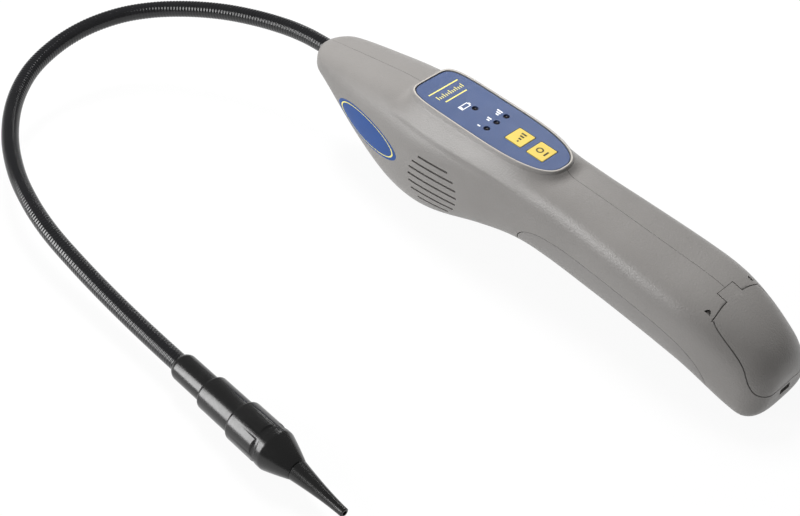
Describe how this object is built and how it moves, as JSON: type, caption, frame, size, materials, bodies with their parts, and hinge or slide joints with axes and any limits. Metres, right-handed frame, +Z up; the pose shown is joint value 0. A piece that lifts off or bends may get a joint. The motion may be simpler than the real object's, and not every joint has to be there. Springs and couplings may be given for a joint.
{
  "type": "refrigerant leak detector",
  "caption": "Handheld refrigerant leak detector with a grip body, sloped keypad, speaker slots, hinged tail battery door and a stiff gooseneck probe ending in a sensor head.",
  "frame": {"origin": "on the table under the middle of the body, measured without the flexible probe", "axes": "+X from the nose to the tail along the body, +Z up, -Y toward the side with the speaker slots"},
  "size_m": [0.3503, 0.1819, 0.0538],
  "materials": {
    "body_plastic": "fine spark-eroded texture, warm mid grey",
    "grip_plastic": "smooth satin, a little darker than the body",
    "blue_overlay": "satin slate-blue film",
    "blue_label": "glossy deep blue film",
    "yellow_key": "satin warm yellow",
    "lamp": "dark tinted lens",
    "board": "green solder mask",
    "black_plastic": "moulded black",
    "speaker_metal": "black lacquer",
    "cell_case": "dark film-wrapped can",
    "steel": "bright nickel-plated steel",
    "tube": "translucent soft tube",
    "sheath": "glossy black ribbed sheath",
    "probe_black": "semi-gloss black, fine turned finish",
    "o_ring": "black nitrile",
    "filter": "white felt disc"
  },
  "bodies": {
    "body": {"left_shell": "body_plastic", "right_shell": "body_plastic", "grip_pad": "grip_plastic", "side_label": "blue_label", "keypad_overlay": "blue_overlay", "led_low_battery": "lamp", "led_low": "lamp", "led_normal": "lamp", "led_high": "lamp", "main_board": "board", "power_switch": "black_plastic", "sensitivity_switch": "black_plastic", "speaker": "speaker_metal", "front_cell": "cell_case", "rear_cell": "cell_case", "front_contact": "steel", "pump_head": "black_plastic", "pump_motor": "steel", "air_tube": "tube", "probe_gland": "black_plastic", "case_screws": "steel", "gooseneck": "sheath", "probe_ferrule": "probe_black", "sensor_housing": "probe_black", "sensor_o_ring": "o_ring", "sensor_element": "steel"},
    "door": {"battery_door": "body_plastic", "cell_spring": "steel"},
    "power_key": {"power_key": "yellow_key"},
    "sensitivity_key": {"sensitivity_key": "yellow_key"},
    "cap": {"sensor_cap": "probe_black", "tip_filter": "filter", "probe_tip": "probe_black"}
  },
  "joints": [
    {"name": "door_hinge", "type": "hinge", "parent": "body", "child": "door", "pos_m": [0.094, 0, 0.0351], "axis": [0, -1, 0], "range_deg": [0, 45]},
    {"name": "power_press", "type": "slide", "parent": "body", "child": "power_key", "axis": [-0.0515, 0, -0.9987], "range_m": [0, 0.0004], "stiffness_N_per_m": 1500},
    {"name": "sensitivity_press", "type": "slide", "parent": "body", "child": "sensitivity_key", "axis": [-0.0515, 0, -0.9987], "range_m": [0, 0.0004], "stiffness_N_per_m": 1500},
    {"name": "cap_pull", "type": "slide", "parent": "body", "child": "cap", "axis": [0.9997, -0.023, 0], "range_m": [0, 0.026]}
  ]
}
